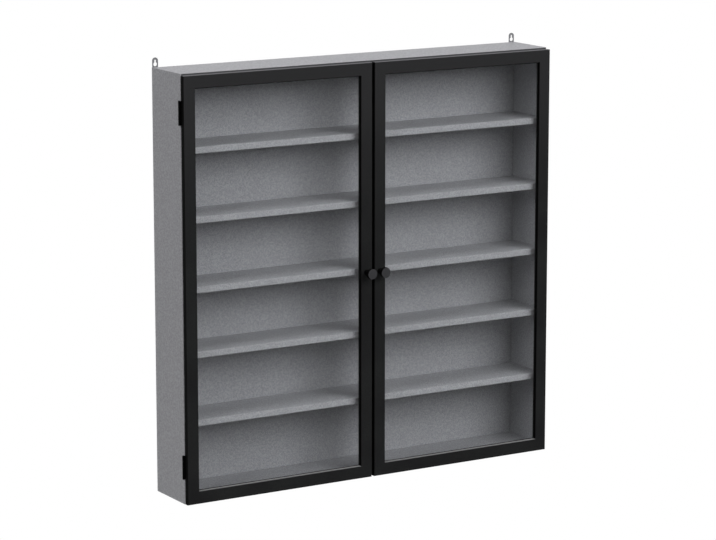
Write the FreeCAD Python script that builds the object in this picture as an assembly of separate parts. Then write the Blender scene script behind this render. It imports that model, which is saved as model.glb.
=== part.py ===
"""Wall cabinet: a folded steel carcass with five shelves and two glazed doors.

Millimetres. The cabinet is drawn with X from its left side, Y towards the wall, with the
wall plane at Y = 0, and Z from its lower edge. save() moves each piece into the part's
frame, whose origin is midway between the two keyholes, on the wall plane.
"""
import FreeCAD, Part
import math
import os

Vector = FreeCAD.Vector

# Carcass
cabinet_width = 1000.0
cabinet_height = 1000.0
carcass_depth = 139.5
shell_sheet = 1.5
shell_bend = 0.5
front_return = 15.0
rear_return = 12.0
floor_height = 13.2
back_sheet = 1.0

# Shelves
shelf_sheet = 1.0
shelf_bend = 0.5
shelf_edge = 15.0
shelf_hem = 8.0
shelf_setback = 9.5
shelf_height_shares = (0.193, 0.354, 0.506, 0.668, 0.829)

# Door frames
door_depth = 13.5
door_sheet = 1.2
door_bend = 0.8
frame_width = 30.0
door_top_gap = 3.5
door_bottom_gap = 0.6
meeting_gap = 7.0

# Glazing
glass_thickness = 3.0
seal_thickness = 1.0
seal_sight = 2.0
pane_overlap = 6.0
pane_backset = 0.5
lip_to_pane = 2.0

# Pane clips and their screws
clip_sheet = 1.0
clip_width = 14.0
clip_foot = 7.0
clip_gap = 0.4
clip_reach = 6.5
clip_screw_radius = 1.5
clip_screw_head_radius = 2.6
clip_screw_length = 3.6
clip_head_clearance = 0.2
clip_stile_shares = (0.25, 0.75)
clip_rail_shares = (0.5,)

# Hinges
hinge_length = 55.0
hinge_end_offset = 61.0
knuckle_count = 5
knuckle_gap = 0.3
barrel_radius = 2.8
leaf_sheet = 0.9
leaf_clearance = 0.2
leaf_margin = 1.0
hinge_side_clearance = 0.3
pin_radius = 1.5
pin_clearance = 0.05
pin_head = 0.8

# Knobs and their screws
knob_radius = 12.5
knob_projection = 29.0
knob_rim = 8.0
knob_crown = 0.8
knob_edge = 1.5
knob_neck_radius = 5.0
knob_base_radius = 7.0
knob_base = 1.5
knob_screw_radius = 2.0
knob_screw_grip = 11.0
knob_screw_head_radius = 3.6
knob_screw_head = 2.4
knob_bore_spare = 1.0
access_hole_radius = 4.5

# Door magnets
magnet_radius = 4.0
magnet_clearance = 0.3
magnet_inset = 45.0

# Hanger plates and their rivets
hanger_width = 14.5
hanger_rise = 22.5
hanger_drop = 40.0
hanger_clearance = 0.2
keyhole_rise = 7.0
keyhole_radius = 4.75
keyhole_slot_radius = 2.2
keyhole_top_rim = 4.9
rivet_radius = 2.0
rivet_head_radius = 3.6
rivet_head = 1.2
rivet_recess = 0.2
rivet_drop_shares = (0.3, 0.75)

# Clearance of a screw or rivet in its hole, and how far cutting tools run past a face
hole_clearance = 0.05
overrun = 1.0

# Sizes that follow from the ones above
door_gap = 2 * leaf_sheet + leaf_clearance
carcass_front = -carcass_depth
door_back = carcass_front - door_gap
door_front = door_back - door_depth
door_width = (cabinet_width - meeting_gap) / 2
door_bottom = door_bottom_gap
door_top = cabinet_height - door_top_gap
door_height = door_top - door_bottom
back_front = -shell_sheet - back_sheet
shelf_front = carcass_front + shelf_setback
pane_back = door_depth - pane_backset
pane_front = pane_back - glass_thickness
window_reveal = pane_front - seal_thickness
pane_edge = frame_width - pane_overlap
lip_width = pane_edge - lip_to_pane
axis_outset = barrel_radius + hinge_side_clearance
hinge_axis = Vector(-axis_outset, door_back + door_gap / 2, 0)
knob_inset = frame_width / 2
knob_height = cabinet_height / 2
origin = Vector(cabinet_width / 2, 0, cabinet_height + keyhole_rise)

# Directions
along_x = Vector(1, 0, 0)
along_y = Vector(0, 1, 0)
along_z = Vector(0, 0, 1)


def box(x0, x1, y0, y1, z0, z1):
    """A block between two corners."""
    return Part.makeBox(x1 - x0, y1 - y0, z1 - z0, Vector(x0, y0, z0))


def rod_y(radius, x, z, y0, y1):
    """A round bar along Y."""
    return Part.makeCylinder(radius, y1 - y0, Vector(x, y0, z), along_y)


def fused(shapes):
    """One clean solid from pieces that touch or overlap."""
    return shapes[0].multiFuse(shapes[1:]).removeSplitter()


def in_plan(u, v):
    """A profile point seen from above."""
    return Vector(u, v, 0)


def in_section(u, v):
    """A profile point seen from the side, with u along Y and v along Z."""
    return Vector(0, u, v)


def skin_edges(path, radius, shift, plane):
    """The edges of one face of a bent sheet, shifted to the left of its middle line."""
    run = (path[1] - path[0]).normalize()
    cursor = path[0] + Vector(-run.y, run.x, 0) * shift
    edges = []
    for corner, following in zip(path[1:-1], path[2:]):
        after = (following - corner).normalize()
        turn = run.x * after.y - run.y * after.x
        centre = corner - run * radius + Vector(-run.y, run.x, 0) * (turn * radius)
        middle = centre + (corner - centre).normalize() * radius
        scale = (radius - turn * shift) / radius
        on_line = (corner - run * radius, middle, corner + after * radius)
        bend = [centre + (point - centre) * scale for point in on_line]
        edges.append((cursor, bend[0]))
        edges.append(tuple(bend))
        cursor = bend[2]
        run = after
    edges.append((cursor, path[-1] + Vector(-run.y, run.x, 0) * shift))
    return [tuple(plane(p.x, p.y) for p in edge) for edge in edges]


def edge_shape(points):
    """A straight edge from two points, or an arc from three."""
    if len(points) == 2:
        return Part.makeLine(*points)
    return Part.Arc(*points).toShape()


def folded(points, sheet, bend, plane, push):
    """A sheet of even thickness bent square at each inner point of its middle line, then extruded."""
    path = [Vector(u, v, 0) for u, v in points]
    radius = bend + sheet / 2
    left = skin_edges(path, radius, sheet / 2, plane)
    right = skin_edges(path, radius, -sheet / 2, plane)
    caps = [(left[0][0], right[0][0]), (left[-1][-1], right[-1][-1])]
    wire = Part.Wire(Part.__sortEdges__([edge_shape(e) for e in left + right + caps]))
    return Part.Face(wire).extrude(push)


def mirrored(shape):
    """The same piece on the other side of the cabinet."""
    return shape.mirror(Vector(cabinet_width / 2, 0, 0), along_x)


def hanger_notch():
    """The space that the left hanger plate needs through the rear edges of the shell."""
    right = shell_sheet + hanger_clearance + hanger_width + hanger_clearance
    low = cabinet_height - hanger_drop - hanger_clearance
    return box(shell_sheet, right, -shell_sheet, overrun, low, cabinet_height + overrun)


def side_panel():
    """The left side: outer skin, front return behind the door and rear return."""
    skin = shell_sheet / 2
    points = [
        (front_return, carcass_front + skin),
        (skin, carcass_front + skin),
        (skin, -skin),
        (rear_return, -skin),
    ]
    panel = folded(points, shell_sheet, shell_bend, in_plan, along_z * cabinet_height)
    return panel.cut(hanger_notch())


def between_sides(points):
    """A folded panel that fills the width between the sides, with corners relieved round their returns."""
    push = along_x * (cabinet_width - 2 * shell_sheet)
    panel = folded(points, shell_sheet, shell_bend, in_section, push)
    panel.translate(along_x * shell_sheet)
    relief = shell_sheet + shell_bend
    front_corner = box(0, front_return, carcass_front - overrun, carcass_front + relief, 0, cabinet_height)
    rear_corner = box(0, rear_return, -relief, overrun, 0, cabinet_height)
    corners = [front_corner, rear_corner]
    return panel.cut(corners + [mirrored(corner) for corner in corners])


def top_panel():
    """The top with its front and rear flanges turned down."""
    skin = shell_sheet / 2
    points = [
        (carcass_front + skin, cabinet_height - front_return),
        (carcass_front + skin, cabinet_height - skin),
        (-skin, cabinet_height - skin),
        (-skin, cabinet_height - rear_return),
    ]
    notch = hanger_notch()
    return between_sides(points).cut([notch, mirrored(notch)])


def bottom_panel():
    """The floor, raised on its front flange, with the rear flange turned up behind the back."""
    skin = shell_sheet / 2
    points = [
        (carcass_front + skin, 0),
        (carcass_front + skin, floor_height - skin),
        (-skin, floor_height - skin),
        (-skin, floor_height + rear_return),
    ]
    return between_sides(points)


def rivet_places():
    """The middles of the rivets in the left hanger plate."""
    x = shell_sheet + hanger_clearance + hanger_width / 2
    return [(x, cabinet_height - hanger_drop * share) for share in rivet_drop_shares]


def back_panel():
    """The flat back, in front of the rear returns, with holes for the hanger rivets."""
    inset = shell_sheet + shell_bend
    top = cabinet_height - inset
    panel = box(inset, cabinet_width - inset, back_front, -shell_sheet, floor_height + shell_bend, top)
    holes = [rod_y(rivet_radius + hole_clearance, x, z, back_front - overrun, 0) for x, z in rivet_places()]
    return panel.cut(holes + [mirrored(hole) for hole in holes])


def shelf(top):
    """One shelf: a tray with its front edge hemmed and its ends and rear turned down."""
    skin = shelf_sheet / 2
    low = top - shelf_edge
    points = [
        (shelf_front + shelf_hem, low + skin),
        (shelf_front + skin, low + skin),
        (shelf_front + skin, top - skin),
        (back_front - skin, top - skin),
        (back_front - skin, low),
    ]
    left = shell_sheet
    right = cabinet_width - shell_sheet
    tray = folded(points, shelf_sheet, shelf_bend, in_section, along_x * (right - left))
    tray.translate(along_x * left)
    inner = shelf_front + shelf_hem
    ends = [
        box(left, left + shelf_sheet, inner, back_front - skin, low, top - skin),
        box(right - shelf_sheet, right, inner, back_front - skin, low, top - skin),
    ]
    return fused([tray] + ends)


def hanger_plate():
    """The left hanger plate: a round-topped strip with a keyhole above the cabinet."""
    left = shell_sheet + hanger_clearance
    middle = left + hanger_width / 2
    radius = hanger_width / 2
    crown = cabinet_height + hanger_rise - radius
    strip = box(left, left + hanger_width, -shell_sheet, 0, cabinet_height - hanger_drop, crown)
    plate = fused([strip, rod_y(radius, middle, crown, -shell_sheet, 0)])
    keyhole = cabinet_height + keyhole_rise
    slot_end = cabinet_height + hanger_rise - keyhole_top_rim - keyhole_slot_radius
    front = -shell_sheet - overrun
    slot_left = middle - keyhole_slot_radius
    slot_right = middle + keyhole_slot_radius
    cuts = [
        rod_y(keyhole_radius, middle, keyhole, front, overrun),
        rod_y(keyhole_slot_radius, middle, slot_end, front, overrun),
        box(slot_left, slot_right, front, overrun, keyhole, slot_end),
    ]
    cuts += [rod_y(rivet_radius + hole_clearance, x, z, front, overrun) for x, z in rivet_places()]
    return plate.cut(cuts)


def rivet(x, z):
    """A round-head rivet through the back panel and the hanger plate, with its head inside."""
    shank = rod_y(rivet_radius, x, z, back_front, -rivet_recess)
    ball_radius = (rivet_head_radius ** 2 + rivet_head ** 2) / (2 * rivet_head)
    ball = Part.makeSphere(ball_radius, Vector(x, back_front - rivet_head + ball_radius, z))
    head = ball.common(rod_y(rivet_head_radius, x, z, back_front - rivet_head, back_front))
    return fused([shank, head])


def frame_member(length):
    """A door profile along X, from its outer edge at Z = 0 inwards, mitred at both ends."""
    skin = door_sheet / 2
    points = [
        (window_reveal, frame_width - skin),
        (skin, frame_width - skin),
        (skin, skin),
        (door_depth - skin, skin),
        (door_depth - skin, lip_width),
    ]
    profile = folded(points, door_sheet, door_bend, in_section, along_x * length)
    reach = frame_width + overrun
    corners = [(0, 0), (length, 0), (length - reach, reach), (reach, reach), (0, 0)]
    outline = Part.makePolygon([Vector(x, -overrun, z) for x, z in corners])
    wedge = Part.Face(outline).extrude(along_y * (door_depth + 2 * overrun))
    return profile.common(wedge)


def pane_clip(place):
    """A Z-shaped clip on the lip of a door profile, with its pad on the pane."""
    foot = lip_width - clip_foot
    riser = lip_width + clip_gap
    end = lip_width + clip_reach
    corners = [
        (door_depth, foot),
        (door_depth + clip_sheet, foot),
        (door_depth + clip_sheet, riser + clip_sheet),
        (pane_back + clip_sheet, riser + clip_sheet),
        (pane_back + clip_sheet, end),
        (pane_back, end),
        (pane_back, riser),
        (door_depth, riser),
        (door_depth, foot),
    ]
    outline = Part.makePolygon([Vector(place - clip_width / 2, y, z) for y, z in corners])
    return Part.Face(outline).extrude(along_x * clip_width)


def clip_screw_place(place):
    """The middle of a clip's screw, along the profile and in from its outer edge."""
    return place, lip_width - clip_foot / 2


def clip_screw(place):
    """A flat-head screw through a clip into the lip."""
    x, z = clip_screw_place(place)
    seat = door_depth + clip_sheet
    head = door_gap - clip_sheet - clip_head_clearance
    return fused([
        rod_y(clip_screw_radius, x, z, seat - clip_screw_length, seat),
        rod_y(clip_screw_head_radius, x, z, seat, seat + head),
    ])


def clip_screw_hole(place):
    """The hole for a clip's screw through the clip and the lip."""
    x, z = clip_screw_place(place)
    low = door_depth - door_sheet - overrun
    return rod_y(clip_screw_radius + hole_clearance, x, z, low, door_depth + clip_sheet + overrun)


def frame_members():
    """Name, length, turn and corner of each profile of the left door, and its clips' places."""
    right = Vector(door_width, door_front, door_bottom)
    right_top = Vector(door_width, door_front, door_top)
    left_top = Vector(0, door_front, door_top)
    left = Vector(0, door_front, door_bottom)
    stile_places = [door_height * share for share in clip_stile_shares]
    rail_places = [door_width * share for share in clip_rail_shares]
    return [
        ("bottom_rail", door_width, 0, left, rail_places),
        ("hinge_stile", door_height, 90, left_top, stile_places),
        ("top_rail", door_width, 180, right_top, rail_places),
        ("lock_stile", door_height, 270, right, stile_places),
    ]


def seated(shape, turn, corner):
    """A piece drawn along a profile, turned about Y and moved to its side of the door."""
    shape.rotate(Vector(0, 0, 0), along_y, turn)
    shape.translate(corner)
    return shape


def knob_holes():
    """The knob screw's hole in the front of the lock stile, and the hole behind it for a driver."""
    x = door_width - knob_inset
    skin_back = door_front + door_sheet
    return [
        rod_y(knob_screw_radius + hole_clearance, x, knob_height, door_front - overrun, skin_back + overrun),
        rod_y(access_hole_radius, x, knob_height, door_back - door_sheet - overrun, door_back + overrun),
    ]


def door_ring(outer, inner, front, back):
    """A flat frame round the window, from two insets and two depths behind the door's front."""
    def sheet(inset, run):
        low = door_bottom + inset
        high = door_top - inset
        return box(inset, door_width - inset, door_front + front - run, door_front + back + run, low, high)
    return sheet(outer, 0).cut(sheet(inner, overrun))


def glass_pane():
    """The pane, held by its edges behind the window."""
    low = door_bottom + pane_edge
    high = door_top - pane_edge
    return box(pane_edge, door_width - pane_edge, door_front + pane_front, door_front + pane_back, low, high)


def knob():
    """A turned pull knob on the lock stile: base, neck, flared head and a slightly domed face."""
    flare = knob_radius - knob_neck_radius
    rim_end = knob_projection - knob_crown
    flare_end = rim_end - knob_rim
    flare_start = flare_end - flare
    half_turn_share = math.sqrt(0.5)
    flare_middle = (knob_radius - flare * half_turn_share, flare_start + flare * half_turn_share)
    edge_middle_share = 1 - half_turn_share
    edge_middle = (knob_radius - knob_edge * edge_middle_share, rim_end - knob_edge * edge_middle_share)
    face_radius = knob_radius - knob_edge
    dome = (face_radius ** 2 + knob_crown ** 2) / (2 * knob_crown)
    dome_middle = (face_radius / 2, rim_end + math.sqrt(dome ** 2 - face_radius ** 2 / 4) - dome + knob_crown)

    def at(r, p):
        return Vector(r, -p, 0)

    steps = [
        ((0, 0), (knob_base_radius, 0)),
        ((knob_base_radius, 0), (knob_base_radius, knob_base)),
        ((knob_base_radius, knob_base), (knob_neck_radius, knob_base)),
        ((knob_neck_radius, knob_base), (knob_neck_radius, flare_start)),
        ((knob_neck_radius, flare_start), flare_middle, (knob_radius, flare_end)),
        ((knob_radius, flare_end), (knob_radius, rim_end - knob_edge)),
        ((knob_radius, rim_end - knob_edge), edge_middle, (face_radius, rim_end)),
        ((face_radius, rim_end), dome_middle, (0, knob_projection)),
        ((0, knob_projection), (0, 0)),
    ]
    wire = Part.Wire([edge_shape([at(*point) for point in step]) for step in steps])
    head = Part.Face(wire).revolve(Vector(0, 0, 0), along_y, 360)
    head.translate(Vector(door_width - knob_inset, door_front, knob_height))
    depth = knob_screw_grip + knob_bore_spare
    bore = rod_y(knob_screw_radius + hole_clearance, door_width - knob_inset, knob_height,
                 door_front - depth, door_front + overrun)
    return head.cut(bore)


def knob_screw():
    """The screw that holds the knob, with its head inside the lock stile."""
    x = door_width - knob_inset
    seat = door_front + door_sheet
    return fused([
        rod_y(knob_screw_radius, x, knob_height, door_front - knob_screw_grip, seat),
        rod_y(knob_screw_head_radius, x, knob_height, seat, seat + knob_screw_head),
    ])


def door_magnets():
    """Two discs on the lips near the lock side, opposite the carcass's top and bottom flanges."""
    x = door_width - magnet_inset
    front_edge = door_back + door_gap - magnet_clearance
    top = (door_top + cabinet_height - front_return) / 2
    bottom = (door_bottom + floor_height) / 2
    return [rod_y(magnet_radius, x, z, door_back, front_edge) for z in (bottom, top)]


def hinge_leaf(low, first, face, back):
    """A leaf between two depths with every other knuckle of the barrel, counted from the first."""
    pitch = hinge_length / knuckle_count
    reach = front_return - leaf_margin
    start = hinge_side_clearance
    shapes = [box(start, reach, face, back, low, low + hinge_length)]
    for index in range(first, knuckle_count, 2):
        base = low + index * pitch + knuckle_gap / 2
        height = pitch - knuckle_gap
        shapes.append(box(hinge_axis.x, start, face, back, base, base + height))
        foot = hinge_axis + along_z * base
        shapes.append(Part.makeCylinder(barrel_radius, height, foot, along_z))
    bore_foot = hinge_axis + along_z * (low - overrun)
    bore = Part.makeCylinder(pin_radius + pin_clearance, hinge_length + 2 * overrun, bore_foot, along_z)
    return fused(shapes).cut(bore)


def hinge_pin(low):
    """A pin through the barrel with a flat head at each end."""
    foot = hinge_axis + along_z * low
    top = foot + along_z * hinge_length
    return fused([
        Part.makeCylinder(pin_radius, hinge_length, foot, along_z),
        Part.makeCylinder(barrel_radius, pin_head, foot - along_z * pin_head, along_z),
        Part.makeCylinder(barrel_radius, pin_head, top, along_z),
    ])


def save(name, shapes):
    """Move a piece, or a group of like pieces, into the part's frame and write it."""
    group = Part.makeCompound(shapes) if len(shapes) > 1 else shapes[0].copy()
    group.translate(-origin)
    group.exportStep("parts/" + name + ".step")


def save_carcass():
    """The pieces that stay on the wall, apart from the hinges."""
    left = side_panel()
    plate = hanger_plate()
    rivets = [rivet(x, z) for x, z in rivet_places()]
    save("left_side_panel", [left])
    save("right_side_panel", [mirrored(left)])
    save("top_panel", [top_panel()])
    save("bottom_panel", [bottom_panel()])
    save("back_panel", [back_panel()])
    for number, share in enumerate(shelf_height_shares, 1):
        save("shelf_" + str(number), [shelf(cabinet_height * share)])
    save("left_hanger_plate", [plate])
    save("right_hanger_plate", [mirrored(plate)])
    save("hanger_rivets", rivets + [mirrored(piece) for piece in rivets])


def door_pieces():
    """Every piece of the left door by name, without its hinges."""
    pieces = {}
    clips = []
    screws = []
    for name, length, turn, corner, places in frame_members():
        holes = [clip_screw_hole(place) for place in places]
        member = frame_member(length).cut(holes)
        pieces["door_" + name] = [seated(member, turn, corner)]
        clips += [seated(pane_clip(place).cut(hole), turn, corner) for place, hole in zip(places, holes)]
        screws += [seated(clip_screw(place), turn, corner) for place in places]
    pieces["door_lock_stile"] = [pieces["door_lock_stile"][0].cut(knob_holes())]
    pieces["glazing_seal"] = [door_ring(pane_edge, frame_width + seal_sight, window_reveal, pane_front)]
    pieces["glass_pane"] = [glass_pane()]
    pieces["pane_clips"] = clips
    pieces["clip_screws"] = screws
    pieces["knob"] = [knob()]
    pieces["knob_screw"] = [knob_screw()]
    pieces["door_magnets"] = door_magnets()
    return pieces


def hinge_pieces():
    """The leaves and pins of the left door's hinges by name."""
    pieces = {}
    high = cabinet_height - hinge_end_offset - hinge_length
    for level, low in (("lower", hinge_end_offset), ("upper", high)):
        name = level + "_hinge_"
        pieces[name + "carcass_leaf"] = [hinge_leaf(low, 0, carcass_front - leaf_sheet, carcass_front)]
        pieces[name + "door_leaf"] = [hinge_leaf(low, 1, door_back, door_back + leaf_sheet)]
        pieces[name + "pin"] = [hinge_pin(low)]
    return pieces


def main():
    """Write every piece of the cabinet."""
    os.makedirs("parts", exist_ok=True)
    save_carcass()
    for name, shapes in {**door_pieces(), **hinge_pieces()}.items():
        save("left_" + name, shapes)
        save("right_" + name, [mirrored(shape) for shape in shapes])


main()
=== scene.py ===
import logging
import math
from dataclasses import dataclass, field
from enum import Enum
from typing import Any, Iterable, Optional, Sequence

import bmesh
import bpy
from mathutils import Matrix, Vector


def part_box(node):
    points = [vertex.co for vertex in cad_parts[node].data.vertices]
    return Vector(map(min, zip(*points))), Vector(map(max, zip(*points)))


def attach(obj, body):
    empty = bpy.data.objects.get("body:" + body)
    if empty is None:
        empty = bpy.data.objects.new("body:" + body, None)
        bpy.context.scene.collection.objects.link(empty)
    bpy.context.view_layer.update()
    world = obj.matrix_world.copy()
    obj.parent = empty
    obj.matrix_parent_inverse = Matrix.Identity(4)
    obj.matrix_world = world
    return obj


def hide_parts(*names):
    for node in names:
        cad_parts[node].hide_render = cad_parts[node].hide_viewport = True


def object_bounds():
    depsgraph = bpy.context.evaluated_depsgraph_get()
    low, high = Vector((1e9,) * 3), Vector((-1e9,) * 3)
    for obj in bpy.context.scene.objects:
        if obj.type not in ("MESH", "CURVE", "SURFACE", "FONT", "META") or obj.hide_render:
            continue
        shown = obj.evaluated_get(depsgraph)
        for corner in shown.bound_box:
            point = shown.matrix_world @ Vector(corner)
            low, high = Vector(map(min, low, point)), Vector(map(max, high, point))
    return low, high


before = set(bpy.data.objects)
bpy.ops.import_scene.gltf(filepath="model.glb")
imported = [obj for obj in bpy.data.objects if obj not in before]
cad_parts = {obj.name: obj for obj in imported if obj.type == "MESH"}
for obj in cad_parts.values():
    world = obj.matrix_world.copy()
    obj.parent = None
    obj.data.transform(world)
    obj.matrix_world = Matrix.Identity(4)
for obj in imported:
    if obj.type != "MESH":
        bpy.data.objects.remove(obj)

CAD_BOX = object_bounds()
LOG = logging.getLogger("wall_cabinet")
MM = 0.001
WHITE = "#FFFFFF"

# A mix node has several sockets of one name. These are the numbers of its two colours and of their mixture.
MIX_A, MIX_B, MIXED = 6, 7, 2
# Nearly all values of a noise texture lie between these two.
NOISE_LOW, NOISE_HIGH = 0.3, 0.7
# A wave texture turns by this many radians in one unit of its scale.
WAVE_TURN = 20.0
# The share of a normal along an axis from which a face begins to look that way, and at which it fully does.
LOOKS_FROM, LOOKS_FULLY = 0.5, 0.95

Colour = tuple[float, float, float, float]
Outline = Sequence[tuple[float, float]]
Point = tuple[float, float, float]
Ring = list[bmesh.types.BMVert]
Socket = bpy.types.NodeSocket
Tree = bpy.types.NodeTree


class Side(Enum):
    """The two halves of the cabinet, seen from the front."""

    LEFT = "left"
    RIGHT = "right"

    @property
    def body(self) -> str:
        """The door that swings on this side."""
        return f"{self.value}_door"

    def node(self, name: str) -> str:
        """The name of this side's copy of a piece."""
        return f"{self.value}_{name}"


class Level(Enum):
    """The two hinges of a door."""

    UPPER = "upper"
    LOWER = "lower"


class Slot(Enum):
    """The finishes that the part's record names."""

    GLASS = "clear_glass"
    RUBBER = "seal_rubber"
    ZINC = "zinc_steel"
    GREY = "carcass_grey"
    BLACK = "frame_black"
    HINGE = "hinge_black"
    KNOB = "knob_black"


class Facing(Enum):
    """Where the top of a form that was turned about Z looks. The values are turns about X, in degrees."""

    FRONT = 90
    WALL = -90

    def at(self, x: float, y: float, z: float) -> Matrix:
        """The matrix that puts the foot of such a form at a point."""
        return Matrix.Translation((x, y, z)) @ Matrix.Rotation(math.radians(self.value), 4, "X")


def linear(hexed: str) -> Colour:
    """Turn an sRGB colour into the linear one that the shaders use.

    Args:
        hexed: The colour as #RRGGBB.

    Returns:
        Linear red, green and blue, with full alpha.
    """
    shares = [int(hexed[i:i + 2], 16) / 255 for i in (1, 3, 5)]
    red, green, blue = (s / 12.92 if s <= 0.04045 else ((s + 0.055) / 1.055) ** 2.4 for s in shares)
    return red, green, blue, 1.0


def per_metre(size_mm: float) -> float:
    """The texture scale that repeats once in a size in millimetres."""
    return 1 / (size_mm * MM)


def add_node(tree: Tree, kind: str, feeds: Optional[dict[str | int, Any]] = None,
             **settings: Any) -> bpy.types.Node:
    """Add a node to a tree, with its settings, values and links.

    Args:
        tree: The node tree.
        kind: The node's type name.
        feeds: Values or output sockets for its inputs, by name or number.
        **settings: Attributes of the node.

    Returns:
        The new node.
    """
    node = tree.nodes.new(kind)
    for name, value in settings.items():
        setattr(node, name, value)
    for key, value in (feeds or {}).items():
        if isinstance(value, Socket):
            tree.links.new(value, node.inputs[key])
        else:
            node.inputs[key].default_value = value
    return node


def seen_by_eye(tree: Tree) -> Socket:
    """Tell the rays that show a surface from the rays that only light others.

    Args:
        tree: The node tree.

    Returns:
        An output that is 1 for what is seen directly, in a mirror or through glass.
    """
    path = add_node(tree, "ShaderNodeLightPath").outputs
    direct = add_node(tree, "ShaderNodeMath", {0: path["Is Camera Ray"], 1: path["Is Glossy Ray"]},
                      operation="MAXIMUM")
    return add_node(tree, "ShaderNodeMath", {0: direct.outputs[0], 1: path["Is Transmission Ray"]},
                    operation="MAXIMUM").outputs[0]


@dataclass(frozen=True)
class Finish:
    """What a surface is made of and how it was finished."""

    title: str
    colour: str
    roughness: float

    def material(self) -> bpy.types.Material:
        """Make the finish once.

        Returns:
            Its Blender material.
        """
        made = bpy.data.materials.get(self.title)
        if made is None:
            made = bpy.data.materials.new(self.title)
            made.use_nodes = True
            made.node_tree.nodes.clear()
            surface = self.surface(made.node_tree)
            add_node(made.node_tree, "ShaderNodeOutputMaterial", {"Surface": surface})
        return made

    def surface(self, tree: Tree) -> Socket:
        """Build the shader; each finish has its own."""
        raise NotImplementedError

    def mottled(self, tree: Tree, second: str, size_mm: float, detail: float,
                fineness: float = 0.5) -> tuple[Socket, Socket]:
        """Mix the finish's colour with a second one in an uneven mottle.

        Args:
            tree: The material's node tree.
            second: The second colour.
            size_mm: How wide the mottle's patches are.
            detail: How many finer layers it has.
            fineness: How much each finer layer counts.

        Returns:
            The mottle and the mixed colour.
        """
        place = add_node(tree, "ShaderNodeTexCoord").outputs["Object"]
        mottle = add_node(tree, "ShaderNodeTexNoise",
                          {"Vector": place, "Scale": per_metre(size_mm), "Detail": detail,
                           "Roughness": fineness}).outputs[0]
        mixed = add_node(tree, "ShaderNodeMix",
                         {0: mottle, MIX_A: linear(self.colour), MIX_B: linear(second)}, data_type="RGBA")
        return mottle, mixed.outputs[MIXED]


@dataclass(frozen=True)
class HammeredPowderCoat(Finish):
    """Grey polyester powder coat, sprayed and stoved to a hammered skin.

    The eye sees a matt mid grey whose shallow cells catch the light one by one, as a fine even mottle; the
    cells' hollows are also painted darker, a painted shade.
    """

    hollow_shade_colour: str
    cell_mm: float
    cloud_mm: float
    depth_mm: float
    rough_span: float
    relief_low: float = 0.55
    relief_high: float = 1.25

    def surface(self, tree: Tree) -> Socket:
        """Build the shader.

        Args:
            tree: The material's node tree.

        Returns:
            The shader's output.
        """
        place = add_node(tree, "ShaderNodeTexCoord").outputs["Object"]
        # Real cells are near 2 mm; they are drawn at cell_mm so that they show at the photograph's distance.
        cells = add_node(tree, "ShaderNodeTexVoronoi",
                         {"Vector": place, "Scale": per_metre(self.cell_mm), "Smoothness": 0.8},
                         feature="SMOOTH_F1")
        clouds = add_node(tree, "ShaderNodeTexNoise",
                          {"Vector": place, "Scale": per_metre(self.cloud_mm), "Detail": 3.0,
                           "Roughness": 0.65})
        relief = add_node(tree, "ShaderNodeMath", {0: cells.outputs["Distance"], 1: clouds.outputs[0]},
                          operation="ADD").outputs[0]
        span = {"Value": relief, "From Min": self.relief_low, "From Max": self.relief_high}
        tone = add_node(tree, "ShaderNodeMapRange", span)
        # The colour darkens in the hollows of the cells: painted shade, on top of the coat's own mottle.
        colour = add_node(tree, "ShaderNodeMix",
                          {0: tone.outputs[0], MIX_A: linear(self.hollow_shade_colour), MIX_B: linear(self.colour)},
                          data_type="RGBA")
        rough = add_node(tree, "ShaderNodeMapRange",
                         {**span, "To Min": self.roughness + self.rough_span, "To Max": self.roughness})
        bump = add_node(tree, "ShaderNodeBump",
                        {"Strength": 0.6, "Distance": self.depth_mm * MM, "Height": relief})
        return add_node(tree, "ShaderNodeBsdfPrincipled",
                        {"Base Color": colour.outputs[MIXED], "Roughness": rough.outputs[0],
                         "Specular IOR Level": 0.3, "Normal": bump.outputs[0]}).outputs[0]


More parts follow.
